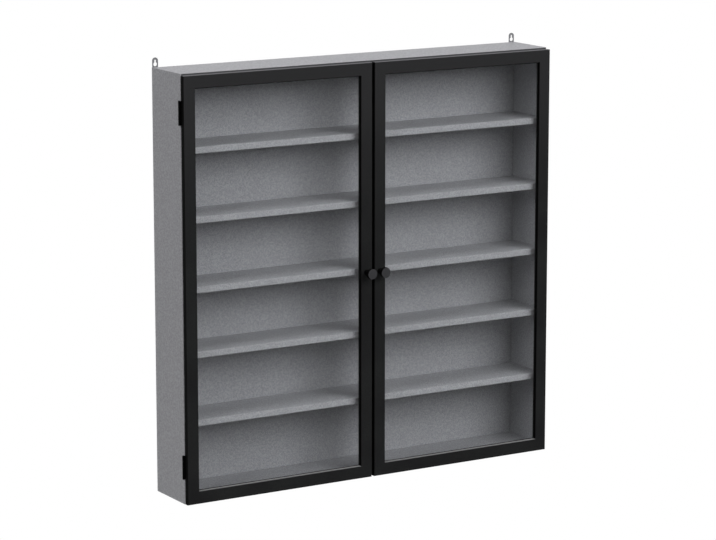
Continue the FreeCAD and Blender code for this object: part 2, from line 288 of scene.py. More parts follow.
@dataclass(frozen=True)
class MattPowderCoat(Finish):
    """Black polyester powder coat, sprayed and stoved to a matt, fine-grained skin.

    The eye sees a near black with a weak, wide sheen and a faint speckle where the grain turns to the light.
    Its faces are painted lighter towards the top, a painted sheen; faces that look up are painted much
    lighter, a painted top light; and the narrow sideways and downward faces are painted darker, a painted
    shade.
    """

    light_colour: str
    side_shade_colour: str
    top_light_colour: str
    sheen_gradient_colour: str
    grain_mm: float
    depth_mm: float
    sheen_level: float
    sheen_rise_mm: tuple[float, float] = (-420.0, 0.0)
    drift_grains: float = 40.0
    tone_low: float = 0.12
    tone_high: float = 0.4
    rough_span: float = 0.06

    def surface(self, tree: Tree) -> Socket:
        """Build the shader.

        Args:
            tree: The material's node tree.

        Returns:
            The shader's output.
        """
        coordinates = add_node(tree, "ShaderNodeTexCoord").outputs
        place = coordinates["Object"]
        # The real grain is near 0.5 mm; it is drawn at grain_mm so that it still shows in a close view.
        grain = add_node(tree, "ShaderNodeTexNoise",
                         {"Vector": place, "Scale": per_metre(self.grain_mm), "Detail": 3.0,
                          "Roughness": 0.6})
        drift = add_node(tree, "ShaderNodeTexNoise",
                         {"Vector": place, "Scale": per_metre(self.grain_mm * self.drift_grains),
                          "Detail": 1.0})
        blend = add_node(tree, "ShaderNodeMath", {0: grain.outputs[0], 1: drift.outputs[0]},
                         operation="MULTIPLY")
        tone = add_node(tree, "ShaderNodeMapRange",
                        {"Value": blend.outputs[0], "From Min": self.tone_low, "From Max": self.tone_high})
        worn = add_node(tree, "ShaderNodeMix",
                        {0: tone.outputs[0], MIX_A: linear(self.colour), MIX_B: linear(self.light_colour)},
                        data_type="RGBA")
        # The colour is painted lighter towards the top, between the two heights given: a painted sheen.
        height = add_node(tree, "ShaderNodeSeparateXYZ", {0: place}).outputs["Z"]
        sheen_rise = add_node(tree, "ShaderNodeMapRange",
                        {"Value": height, "From Min": self.sheen_rise_mm[0] * MM, "From Max": self.sheen_rise_mm[1] * MM},
                        interpolation_type="SMOOTHSTEP")
        sheened = add_node(tree, "ShaderNodeMix",
                         {0: sheen_rise.outputs[0], MIX_A: worn.outputs[MIXED], MIX_B: linear(self.sheen_gradient_colour)},
                         data_type="RGBA")
        looks = add_node(tree, "ShaderNodeSeparateXYZ", {0: coordinates["Normal"]}).outputs
        across = add_node(tree, "ShaderNodeMath", {0: looks["Y"]}, operation="ABSOLUTE")
        turn = {"From Min": LOOKS_FROM, "From Max": LOOKS_FULLY}
        flat = add_node(tree, "ShaderNodeMapRange", {"Value": across.outputs[0], **turn})
        upward = add_node(tree, "ShaderNodeMapRange", {"Value": looks["Z"], **turn})
        # Faces that look sideways or down are painted darker than the front and back faces: painted shade.
        side_shaded = add_node(tree, "ShaderNodeMix",
                         {0: flat.outputs[0], MIX_A: linear(self.side_shade_colour), MIX_B: sheened.outputs[MIXED]},
                         data_type="RGBA")
        # Faces that look up are painted much lighter: painted top light.
        colour = add_node(tree, "ShaderNodeMix",
                          {0: upward.outputs[0], MIX_A: side_shaded.outputs[MIXED],
                           MIX_B: linear(self.top_light_colour)}, data_type="RGBA")
        rough = add_node(tree, "ShaderNodeMapRange",
                         {"Value": grain.outputs[0], "From Min": NOISE_LOW, "From Max": NOISE_HIGH,
                          "To Min": self.roughness - self.rough_span,
                          "To Max": self.roughness + self.rough_span})
        bump = add_node(tree, "ShaderNodeBump",
                        {"Strength": 0.35, "Distance": self.depth_mm * MM, "Height": grain.outputs[0]})
        return add_node(tree, "ShaderNodeBsdfPrincipled",
                        {"Base Color": colour.outputs[MIXED], "Roughness": rough.outputs[0],
                         "Specular IOR Level": self.sheen_level, "Normal": bump.outputs[0]}).outputs[0]


@dataclass(frozen=True)
class TurnedKnobCoat(Finish):
    """Aluminium turned on a lathe and coated matt black.

    The eye sees dark grey, with the lathe's fine rings round the middle of the face.
    """

    light_colour: str
    ring_mm: float
    grit_mm: float
    depth_mm: float
    centre_mm: Point
    rough_span: tuple[float, float] = (-0.05, 0.08)

    def surface(self, tree: Tree) -> Socket:
        """Build the shader.

        Args:
            tree: The material's node tree.

        Returns:
            The shader's output.
        """
        place = add_node(tree, "ShaderNodeTexCoord").outputs["Object"]
        # Both knobs are the same distance from the cabinet's middle, so one centre serves both.
        folded = add_node(tree, "ShaderNodeVectorMath", {0: place}, operation="ABSOLUTE")
        centre = tuple(c * MM for c in self.centre_mm)
        local = add_node(tree, "ShaderNodeVectorMath", {0: folded.outputs[0], 1: centre},
                         operation="SUBTRACT")
        # Tool marks are near 0.2 mm; they are drawn at ring_mm so that they show.
        scale = 2 * math.pi / WAVE_TURN * per_metre(self.ring_mm)
        rings = add_node(tree, "ShaderNodeTexWave",
                         {"Vector": local.outputs[0], "Scale": scale, "Distortion": 0.4},
                         wave_type="RINGS", rings_direction="Y")
        # The coat's real grit is near 0.3 mm; it is drawn at grit_mm so that it shows in a close view.
        grit, colour = self.mottled(tree, self.light_colour, self.grit_mm, detail=2.0)
        rough = add_node(tree, "ShaderNodeMapRange",
                         {"Value": grit, "From Min": NOISE_LOW, "From Max": NOISE_HIGH,
                          "To Min": self.roughness + self.rough_span[0],
                          "To Max": self.roughness + self.rough_span[1]})
        bump = add_node(tree, "ShaderNodeBump",
                        {"Strength": 0.15, "Distance": self.depth_mm * MM, "Height": rings.outputs["Fac"]})
        return add_node(tree, "ShaderNodeBsdfPrincipled",
                        {"Base Color": colour, "Roughness": rough.outputs[0], "Specular IOR Level": 0.03,
                         "Normal": bump.outputs[0]}).outputs[0]


@dataclass(frozen=True)
class PlatedSteel(Finish):
    """Steel pressed from strip or turned from wire, and plated or phosphated; also sintered ferrite.

    The eye sees a soft grey metal, clouded where the bath left the crystal finer or coarser.
    """

    cloud_colour: str
    cloud_mm: float
    metallic: float
    depth_mm: float = 0.03
    rough_span: float = 0.08

    def surface(self, tree: Tree) -> Socket:
        """Build the shader.

        Args:
            tree: The material's node tree.

        Returns:
            The shader's output.
        """
        clouds, colour = self.mottled(tree, self.cloud_colour, self.cloud_mm, detail=4.0, fineness=0.6)
        rough = add_node(tree, "ShaderNodeMapRange",
                         {"Value": clouds, "From Min": NOISE_LOW, "From Max": NOISE_HIGH,
                          "To Min": self.roughness - self.rough_span,
                          "To Max": self.roughness + self.rough_span})
        bump = add_node(tree, "ShaderNodeBump",
                        {"Strength": 0.2, "Distance": self.depth_mm * MM, "Height": clouds})
        return add_node(tree, "ShaderNodeBsdfPrincipled",
                        {"Base Color": colour, "Metallic": self.metallic, "Roughness": rough.outputs[0],
                         "Normal": bump.outputs[0]}).outputs[0]


@dataclass(frozen=True)
class Rubber(Finish):
    """EPDM or foamed PVC, extruded.

    The eye sees a dull even tone with a dusty, uneven bloom.
    """

    bloom_colour: str
    bloom_mm: float
    depth_mm: float = 0.05

    def surface(self, tree: Tree) -> Socket:
        """Build the shader.

        Args:
            tree: The material's node tree.

        Returns:
            The shader's output.
        """
        bloom, colour = self.mottled(tree, self.bloom_colour, self.bloom_mm, detail=4.0, fineness=0.7)
        bump = add_node(tree, "ShaderNodeBump",
                        {"Strength": 0.2, "Distance": self.depth_mm * MM, "Height": bloom})
        return add_node(tree, "ShaderNodeBsdfPrincipled",
                        {"Base Color": colour, "Roughness": self.roughness, "IOR": 1.5,
                         "Specular IOR Level": 0.3, "Normal": bump.outputs[0]}).outputs[0]


@dataclass(frozen=True)
class FloatGlass(Finish):
    """Clear float glass with an anti-reflective coat on both faces, as in display cases.

    The eye sees what is behind it, with only a trace of the room mirrored in it.
    """

    ior: float

    def surface(self, tree: Tree) -> Socket:
        """Build the shader.

        Args:
            tree: The material's node tree.

        Returns:
            The shader's output.
        """
        glass = add_node(tree, "ShaderNodeBsdfPrincipled",
                         {"Base Color": linear(self.colour), "Roughness": self.roughness, "IOR": self.ior,
                          "Transmission Weight": 1.0})
        # Lamps and the light from the room reach what is behind the pane.
        path = add_node(tree, "ShaderNodeLightPath").outputs
        passing = add_node(tree, "ShaderNodeMath", {0: path["Is Shadow Ray"], 1: path["Is Diffuse Ray"]},
                           operation="MAXIMUM")
        clear = add_node(tree, "ShaderNodeBsdfTransparent", {"Color": linear(self.colour)})
        return add_node(tree, "ShaderNodeMixShader",
                        {0: passing.outputs[0], 1: glass.outputs[0], 2: clear.outputs[0]}).outputs[0]


@dataclass(frozen=True)
class GroundGlassEdge(Finish):
    """The edge of float glass, cut and ground with a fine belt.

    The eye sees a frosted sea green, because it looks along the glass.
    """

    light_colour: str
    grit_mm: float
    depth_mm: float

    def surface(self, tree: Tree) -> Socket:
        """Build the shader.

        Args:
            tree: The material's node tree.

        Returns:
            The shader's output.
        """
        # Real grinding marks are near 0.1 mm; they are drawn at grit_mm so that they show in a close view.
        grit, colour = self.mottled(tree, self.light_colour, self.grit_mm, detail=2.0)
        bump = add_node(tree, "ShaderNodeBump",
                        {"Strength": 0.4, "Distance": self.depth_mm * MM, "Height": grit})
        return add_node(tree, "ShaderNodeBsdfPrincipled",
                        {"Base Color": colour, "Roughness": self.roughness, "IOR": 1.5,
                         "Normal": bump.outputs[0]}).outputs[0]


@dataclass(frozen=True)
class PaleFloor(Finish):
    """A painted studio floor, rolled matt.

    The eye sees a pale floor with the object's soft shadow, which fades into the white of the studio.
    """

    light_colour: str
    nap_mm: float
    clear_radius_m: float
    fade_radius_m: float

    def surface(self, tree: Tree) -> Socket:
        """Build the shader.

        Args:
            tree: The material's node tree.

        Returns:
            The shader's output.
        """
        # A roller's real nap is near 3 mm; it is drawn at nap_mm so that it shows from the camera.
        colour = self.mottled(tree, self.light_colour, self.nap_mm, detail=3.0)[1]
        paint = add_node(tree, "ShaderNodeBsdfPrincipled",
                         {"Base Color": colour, "Roughness": self.roughness, "Specular IOR Level": 0.1})
        place = add_node(tree, "ShaderNodeTexCoord").outputs["Object"]
        away = add_node(tree, "ShaderNodeVectorMath", {0: place}, operation="LENGTH")
        fade = add_node(tree, "ShaderNodeMapRange",
                        {"Value": away.outputs["Value"], "From Min": self.clear_radius_m,
                         "From Max": self.fade_radius_m}, interpolation_type="SMOOTHSTEP")
        seen = add_node(tree, "ShaderNodeMath", {0: fade.outputs[0], 1: seen_by_eye(tree)},
                        operation="MULTIPLY")
        white = add_node(tree, "ShaderNodeEmission", {"Color": linear(WHITE), "Strength": 1.0})
        return add_node(tree, "ShaderNodeMixShader",
                        {0: seen.outputs[0], 1: paint.outputs[0], 2: white.outputs[0]}).outputs[0]


# The grey coat's lower colour is painted shade in the hollows of its cells.
GREY_COAT = HammeredPowderCoat(
    "hammered_grey_powder_coat", "#A5A5A9", 0.52, hollow_shade_colour="#8C8C90", cell_mm=3.6, cloud_mm=5.0,
    depth_mm=0.22, rough_span=0.08)
# The black coat is painted lighter towards the top (painted sheen), much lighter on faces that look up
# (painted top light) and darker on its sideways and downward faces (painted shade).
BLACK_COAT = MattPowderCoat(
    "matt_black_powder_coat", "#202021", 0.5, light_colour="#272828", side_shade_colour="#090909",
    top_light_colour="#6C6C6F", sheen_gradient_colour="#2F2F30", grain_mm=2.2, depth_mm=0.06, sheen_level=0.008)
# The hinge lacquer carries the same painted sheen, painted top light and painted shade, in fainter steps.
HINGE_COAT = MattPowderCoat(
    "black_hinge_lacquer", "#070707", 0.55, light_colour="#0B0B0B", side_shade_colour="#060606",
    top_light_colour="#131313", sheen_gradient_colour="#0B0B0B", grain_mm=1.6, depth_mm=0.03, sheen_level=0.006)
KNOB_COAT = TurnedKnobCoat(
    "matt_black_turned_aluminium", "#323234", 0.5, light_colour="#404042", ring_mm=5.03, grit_mm=1.5,
    depth_mm=0.02, centre_mm=(18.5, 0.0, 507.0))
ZINC = PlatedSteel(
    "zinc_plated_steel", "#B4B6B9", 0.34, cloud_colour="#9DA0A5", cloud_mm=14.0, metallic=1.0)
PHOSPHATE = PlatedSteel(
    "phosphated_steel", "#87878A", 0.65, cloud_colour="#77787B", cloud_mm=6.0, metallic=0.2)
FERRITE = PlatedSteel(
    "sintered_ferrite", "#38383B", 0.7, cloud_colour="#2B2B2E", cloud_mm=2.0, metallic=0.0)
EPDM = Rubber("black_epdm", "#141414", 0.7, bloom_colour="#242424", bloom_mm=4.0)
# The tape's light grey stands for the light on top of the bottom rail: painted top light.
SETTING_TAPE = Rubber("grey_setting_tape", "#7A7A7A", 0.7, bloom_colour="#868686", bloom_mm=3.0)
# The foam's dark grey stands for the shade in the gap above the doors: painted shade.
GAP_SHADE_FOAM = Rubber("dark_grey_foam_strip", "#444446", 0.8, bloom_colour="#505052", bloom_mm=3.0)
# The coat takes most of the mirror away, so the index is far below the 1.5 of bare glass.
GLASS = FloatGlass("coated_float_glass", "#FBFCFC", 0.0, ior=1.16)
GLASS_EDGE = GroundGlassEdge(
    "ground_glass_edge", "#557A6F", 0.45, light_colour="#6E9287", grit_mm=0.8, depth_mm=0.05)
FLOOR_PAINT = PaleFloor(
    "pale_floor_paint", "#EDEDEB", 0.85, light_colour="#F4F4F2", nap_mm=12.0, clear_radius_m=0.9,
    fade_radius_m=2.1)


def dress(node: str, finish: Finish) -> None:
    """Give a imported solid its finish.

    Args:
        node: The solid's name.
        finish: What it is made of.
    """
    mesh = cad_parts[node].data
    mesh.materials.clear()
    mesh.materials.append(finish.material())
    LOG.info("%s: %s", node, finish.title)


def node_box(node: str) -> tuple[Vector, Vector]:
    """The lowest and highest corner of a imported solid, in millimetres."""
    low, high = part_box(node)
    return low / MM, high / MM


@dataclass
class Form:
    """A mesh in the making, in millimetres in the part's frame."""

    mesh: bmesh.types.BMesh = field(default_factory=bmesh.new, kw_only=True)

    def joined(self, low: Ring, high: Ring) -> None:
        """Close the band between two rings of points.

        Args:
            low: One ring, or one point on the axis.
            high: The next ring, or one point on the axis.
        """
        lows, highs = len(low), len(high)
        for i in range(max(lows, highs)):
            corners = [low[i % lows], low[(i + 1) % lows], high[(i + 1) % highs], high[i % highs]]
            self.mesh.faces.new(list(dict.fromkeys(corners)))

    def lofted(self, rings: Sequence[Ring], capped: bool = False) -> None:
        """Close the bands between rings that follow each other.

        Args:
            rings: The rings in order.
            capped: Whether the first and the last ring are filled.
        """
        for low, high in zip(rings[:-1], rings[1:]):
            self.joined(low, high)
        if capped:
            self.mesh.faces.new(rings[0])
            self.mesh.faces.new(rings[-1][::-1])

    def turned(self, profile: Outline, steps: int, place: Matrix) -> None:
        """Add a round form turned about its own Z axis.

        Args:
            profile: Radius and height of each point, from the axis to the axis.
            steps: How many faces go round.
            place: Where it sits.
        """
        rings: list[Ring] = []
        for radius, height in profile:
            count = 1 if radius == 0 else steps
            turns = [2 * math.pi * i / count for i in range(count)]
            points = [Vector((radius * math.cos(t), radius * math.sin(t), height)) for t in turns]
            rings.append([self.mesh.verts.new(place @ p) for p in points])
        self.lofted(rings)

    def framed(self, profile: Outline, low: Vector, high: Vector, filled: bool = False) -> None:
        """Add a frame with mitred corners, or a sheet with such an edge.

        Args:
            profile: Inset from the outer edge and depth (Y) of each point of the section.
            low: The lowest outer corner, in X and Z.
            high: The highest outer corner, in X and Z.
            filled: Whether the frame is filled, between the section's first and last point.
        """
        rings: list[Ring] = []
        for inset, depth in profile:
            xs = (low.x + inset, high.x - inset)
            zs = (low.z + inset, high.z - inset)
            corners = [(xs[0], zs[0]), (xs[1], zs[0]), (xs[1], zs[1]), (xs[0], zs[1])]
            rings.append([self.mesh.verts.new((x, depth, z)) for x, z in corners])
        self.lofted(rings, capped=filled)
        if not filled:
            self.joined(rings[-1], rings[0])

    def extruded(self, start: Sequence[Point], end: Sequence[Point]) -> None:
        """Add a straight length between two end sections.

        Args:
            start: The points of one end, in order.
            end: The same points at the other end.
        """
        rings = [[self.mesh.verts.new(point) for point in section] for section in (start, end)]
        self.lofted(rings, capped=True)

    def copied(self, source: bpy.types.Mesh, places: Iterable[Matrix]) -> None:
        """Add copies of a small mesh.

        Args:
            source: The mesh, in millimetres.
            places: Where each copy sits.
        """
        for place in places:
            before = len(self.mesh.verts)
            self.mesh.from_mesh(source)
            self.mesh.verts.ensure_lookup_table()
            bmesh.ops.transform(self.mesh, matrix=place, verts=self.mesh.verts[before:])


@dataclass
class Fitting(Form):
    """A form that becomes a piece of the cabinet, and where it belongs."""

    name: str
    body: str
    finishes: Sequence[Finish]
    slot: Slot
    stands_for: Sequence[str] = ()
    smooth_deg: float = 35.0

    def finished(self) -> bpy.types.Object:
        """Turn the mesh into a piece that rides on its body.

        Returns:
            The piece's object.
        """
        bmesh.ops.recalc_face_normals(self.mesh, faces=self.mesh.faces)
        bmesh.ops.scale(self.mesh, vec=(MM, MM, MM), verts=self.mesh.verts)
        made = bpy.data.meshes.new(self.name)
        self.mesh.to_mesh(made)
        self.mesh.free()
        made.shade_smooth()
        made.set_sharp_from_angle(angle=math.radians(self.smooth_deg))
        for finish in self.finishes:
            made.materials.append(finish.material())
        piece = bpy.data.objects.new(self.name, made)
        bpy.context.scene.collection.objects.link(piece)
        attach(piece, self.body)
        if self.stands_for:
            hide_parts(*self.stands_for)
        LOG.info("%s: %d faces", self.name, len(made.polygons))
        return piece


def sunk(body: Form, tool: Form) -> bpy.types.Mesh:
    """Cut one form out of another.

    Args:
        body: What is cut.
        tool: What cuts it.

    Returns:
        What is left of the body.
    """
    made = []
    for name, form in (("cut_body", body.mesh), ("cut_tool", tool.mesh)):
        bmesh.ops.recalc_face_normals(form, faces=form.faces)
        mesh = bpy.data.meshes.new(name)
        form.to_mesh(mesh)
        form.free()
        thing = bpy.data.objects.new(name, mesh)
        bpy.context.scene.collection.objects.link(thing)
        made.append(thing)
    cut = made[0].modifiers.new("cut", "BOOLEAN")
    cut.object = made[1]
    cut.operation = "DIFFERENCE"
    cut.solver = "EXACT"
    graph = bpy.context.evaluated_depsgraph_get()
    left = bpy.data.meshes.new_from_object(made[0].evaluated_get(graph))
    for thing in made:
        bpy.data.objects.remove(thing)
    return left


@dataclass
class CrossScrew:
    """A small pan-head screw with a cross recess. Sizes in millimetres."""

    shank_radius: float = 1.5
    shank_length: float = 3.4
    point_share: float = 0.5
    head_radius: float = 2.6
    head_height: float = 0.8
    edge_share: float = 0.4
    edge_bulge: float = 0.3
    recess_arm: float = 1.5
    recess_width: float = 0.6
    recess_depth: float = 0.5
    recess_taper: float = 0.6
    facets: int = 32

    def mesh(self) -> bpy.types.Mesh:
        """Turn the screw about Z, with its head's seat at Z = 0, and sink the cross into the head.

        Returns:
            The screw's mesh.
        """
        edge = self.head_height * self.edge_share
        point = self.shank_radius * self.point_share
        blank = Form()
        blank.turned([
            (0, -self.shank_length),
            (self.shank_radius - point, -self.shank_length),
            (self.shank_radius, -self.shank_length + point),
            (self.shank_radius, 0),
            (self.head_radius, 0),
            (self.head_radius, self.head_height - edge),
            (self.head_radius - edge * self.edge_bulge, self.head_height - edge * self.edge_bulge),
            (self.head_radius - edge, self.head_height),
            (0, self.head_height),
        ], self.facets, Matrix.Identity(4))
        arm, half = self.recess_arm, self.recess_width / 2
        outline = [(arm, -half), (arm, half), (half, half), (half, arm), (-half, arm), (-half, half),
                   (-arm, half), (-arm, -half), (-half, -half), (-half, -arm), (half, -arm), (half, -half)]
        floor, above = self.head_height - self.recess_depth, self.head_height + self.recess_depth
        cross = Form()
        cross.extruded([(x * self.recess_taper, y * self.recess_taper, floor) for x, y in outline],
                       [(x, y, above) for x, y in outline])
        return sunk(blank, cross)


@dataclass
class Carcass:
    """The folded steel box with its shelves. Sizes in millimetres."""

    shelf_count: int = 5
    weld_radius: float = 3.2
    weld_rim: float = 0.18
    weld_sink: float = 0.2
    weld_shape: Outline = ((1.0, 0.0), (0.85, 1.0), (0.7, 0.4), (0.0, 0.2))
    weld_facets: int = 20
    welds_per_shelf: int = 8
    weld_margin: float = 45.0
    strip_thickness: float = 1.2
    strip_height: float = 4.2
    strip_drop: float = 0.4
    strip_round: float = 0.3
    strip_margin: float = 2.0

    @property
    def shelves(self) -> list[str]:
        """The shelves' names, from the bottom up."""
        return [f"shelf_{n}" for n in range(1, self.shelf_count + 1)]

    def build(self) -> None:
        """Paint the sheet metal, mark the spot welds and stick on the dark foam strip above the doors, a
        painted shade.
        """
        panels = ["left_side_panel", "right_side_panel", "top_panel", "bottom_panel", "back_panel"]
        for node in panels + self.shelves:
            dress(node, GREY_COAT)
        self.spot_welds().finished()
        self.gap_shade_strip().finished()

    def spot_welds(self) -> Fitting:
        """Draw the shallow dimples that the welding tips leave behind each shelf's rear flange.

        Returns:
            The marks on the back of the back panel.
        """
        marks = Fitting("shelf_spot_welds", "carcass", [GREY_COAT], Slot.GREY)
        low, high = node_box("back_panel")
        first, last = low.x + self.weld_margin, high.x - self.weld_margin
        pitch = (last - first) / (self.welds_per_shelf - 1)
        profile = [(0, -self.weld_sink), (self.weld_radius, -self.weld_sink)]
        profile += [(self.weld_radius * out, self.weld_rim * up) for out, up in self.weld_shape]
        for shelf in self.shelves:
            shelf_low, shelf_high = node_box(shelf)
            level = (shelf_low.z + shelf_high.z) / 2
            for i in range(self.welds_per_shelf):
                marks.turned(profile, self.weld_facets, Facing.WALL.at(first + i * pitch, high.y, level))
        return marks

    def gap_shade_strip(self) -> Fitting:
        """Stick a dark grey foam strip onto the top panel's front flange, behind the doors' tops; its dark
        grey stands for the shade in the gap above the doors.

        Returns:
            The strip.
        """
        low, high = node_box("top_panel")
        front, top = low.y, high.z - self.strip_drop
        bottom, face = top - self.strip_height, front - self.strip_thickness
        section = [(front, top), (front, bottom), (face, bottom), (face, top - self.strip_round),
                   (face + self.strip_round, top)]
        strip = Fitting("top_dust_strip", "carcass", [GAP_SHADE_FOAM], Slot.RUBBER)
        strip.extruded(*([(x, y, z) for y, z in section]
                         for x in (low.x + self.strip_margin, high.x - self.strip_margin)))
        return strip


@dataclass
class Hangers:
    """The two keyhole plates and their blind rivets. Sizes in millimetres."""

    rivet_radius: float = 2.0
    rivet_grip: float = 2.3
    tail_share: float = 0.8
    tail_taper: float = 0.3
    head_radius: float = 3.6
    head_height: float = 1.2
    head_rim: float = 0.25
    head_dome: Outline = ((0.85, 0.62), (0.6, 0.9))
    mandrel_radius: float = 1.0
    mandrel_depth: float = 0.7
    mandrel_rise: float = 0.2
    rivet_drops: tuple[float, float] = (19.0, 37.0)
    facets: int = 28

    def build(self) -> None:
        """Dress the plates and set the rivets."""
        for side in Side:
            dress(side.node("hanger_plate"), PHOSPHATE)
        self.rivets().finished()

    def rivets(self) -> Fitting:
        """Turn the rivets, with the pit that the broken mandrel leaves in each head.

        Returns:
            The four rivets.
        """
        rivets = Fitting("hanger_blind_rivets", "carcass", [ZINC], Slot.ZINC, ["hanger_rivets"])
        seat = node_box("back_panel")[0].y
        pit = self.head_height - self.mandrel_depth
        profile = [
            (0, -self.rivet_grip),
            (self.rivet_radius * self.tail_share, -self.rivet_grip),
            (self.rivet_radius, -self.rivet_grip + self.tail_taper),
            (self.rivet_radius, 0),
            (self.head_radius, 0),
            (self.head_radius, self.head_rim),
            *((self.head_radius * out, self.head_height * up) for out, up in self.head_dome),
            (self.mandrel_radius, self.head_height),
            (self.mandrel_radius, pit),
            (0, pit + self.mandrel_rise),
        ]
        for side in Side:
            low, high = node_box(side.node("hanger_plate"))
            for drop in self.rivet_drops:
                rivets.turned(profile, self.facets, Facing.FRONT.at((low.x + high.x) / 2, seat, -drop))
        return rivets


@dataclass
class BarrelHinge:
    """One barrel hinge of a door. Sizes in millimetres."""

    side: Side
    level: Level
    shank_radius: float = 1.5
    chamfer: float = 0.3
    head: float = 0.8
    facets: int = 32

    def build(self) -> None:
        """Lacquer the leaves and fit the pin."""
        stem = f"{self.side.value}_{self.level.value}_hinge_"
        dress(stem + "carcass_leaf", HINGE_COAT)
        dress(stem + "door_leaf", HINGE_COAT)
        self.pin(stem).finished()

    def pin(self, stem: str) -> Fitting:
        """Turn the pin with a chamfered head at each end.

        Args:
            stem: The start of the hinge's node names.

        Returns:
            The pin.
        """
        low, high = node_box(stem + "pin")
        pin = Fitting(stem + "pin_chamfered", "carcass", [HINGE_COAT], Slot.HINGE, [stem + "pin"])
        length = high.z - low.z
        radius = (high.x - low.x) / 2
        foot = [
            (0, 0),
            (radius - self.chamfer, 0),
            (radius, self.chamfer),
            (radius, self.head),
            (self.shank_radius, self.head),
        ]
        profile = foot + [(r, length - z) for r, z in reversed(foot)]
        axis = Matrix.Translation(((low.x + high.x) / 2, (low.y + high.y) / 2, low.z))
        pin.turned(profile, self.facets, axis)
        return pin


@dataclass
class TurnedKnob:
    """The pull knob: a near-black body, painted shade on its neck and flank, with a lighter face and the
    lathe's centre mark. Sizes in millimetres.
    """

    base_radius: float = 7.0
    base: float = 1.5
    base_chamfer: float = 0.3
    neck_radius: float = 5.0
    rim: float = 8.0
    crown: float = 0.8
    edge: float = 1.5
    face_share: float = 0.25
    mark_radius: float = 2.2
    mark_depth: float = 0.6
    arc_steps: int = 8
    facets: int = 72

    def build(self, side: Side) -> None:
        """Turn the knob of one door.

        Args:
            side: The door that it pulls.
        """
        node = side.node("knob")
        low, high = node_box(node)
        radius, reach = (high.x - low.x) / 2, high.y - low.y
        knob = Fitting(side.node("turned_knob"), side.body, [HINGE_COAT, KNOB_COAT], Slot.KNOB, [node])
        centre = (low + high) / 2
        knob.turned(self.profile(radius, reach), self.facets, Facing.FRONT.at(centre.x, high.y, centre.z))
        # Below the face the knob takes the near-black hinge lacquer instead of the knob coat: painted shade
        # on its neck and flank.
        face_start = low.y + self.crown + self.edge * self.face_share
        for face in knob.mesh.faces:
            face.material_index = int(face.calc_center_median().y < face_start)
        knob.finished()

    def profile(self, radius: float, reach: float) -> Outline:
        """Draw the knob's half section from its foot to the middle of its face.

        Args:
            radius: The head's radius.
            reach: How far it stands out from the door.

        Returns:
            Radius and height of each point.
        """
        neck, edge, chamfer = self.neck_radius, self.edge, self.base_chamfer
        flare, inner = radius - neck, radius - edge
        face = reach - self.crown
        flare_end = face - self.rim
        points = [
            (0, 0),
            (self.base_radius - chamfer, 0),
            (self.base_radius, chamfer),
            (self.base_radius, self.base),
            (neck, self.base),
        ]
        turns = [math.pi / 2 * i / self.arc_steps for i in range(self.arc_steps + 1)]
        points += [(neck + flare * (1 - math.cos(t)), flare_end - flare * (1 - math.sin(t))) for t in turns]
        points += [(radius - edge * (1 - math.cos(t)), face - edge * (1 - math.sin(t))) for t in turns]
        for i in range(1, self.arc_steps):
            share = 1 - i / self.arc_steps
            if inner * share > self.mark_radius:
                points.append((inner * share, face + self.crown * (1 - share ** 2)))
        rise = face + self.crown * (1 - (self.mark_radius / inner) ** 2)
        return points + [(self.mark_radius, rise), (0, rise - self.mark_depth)]


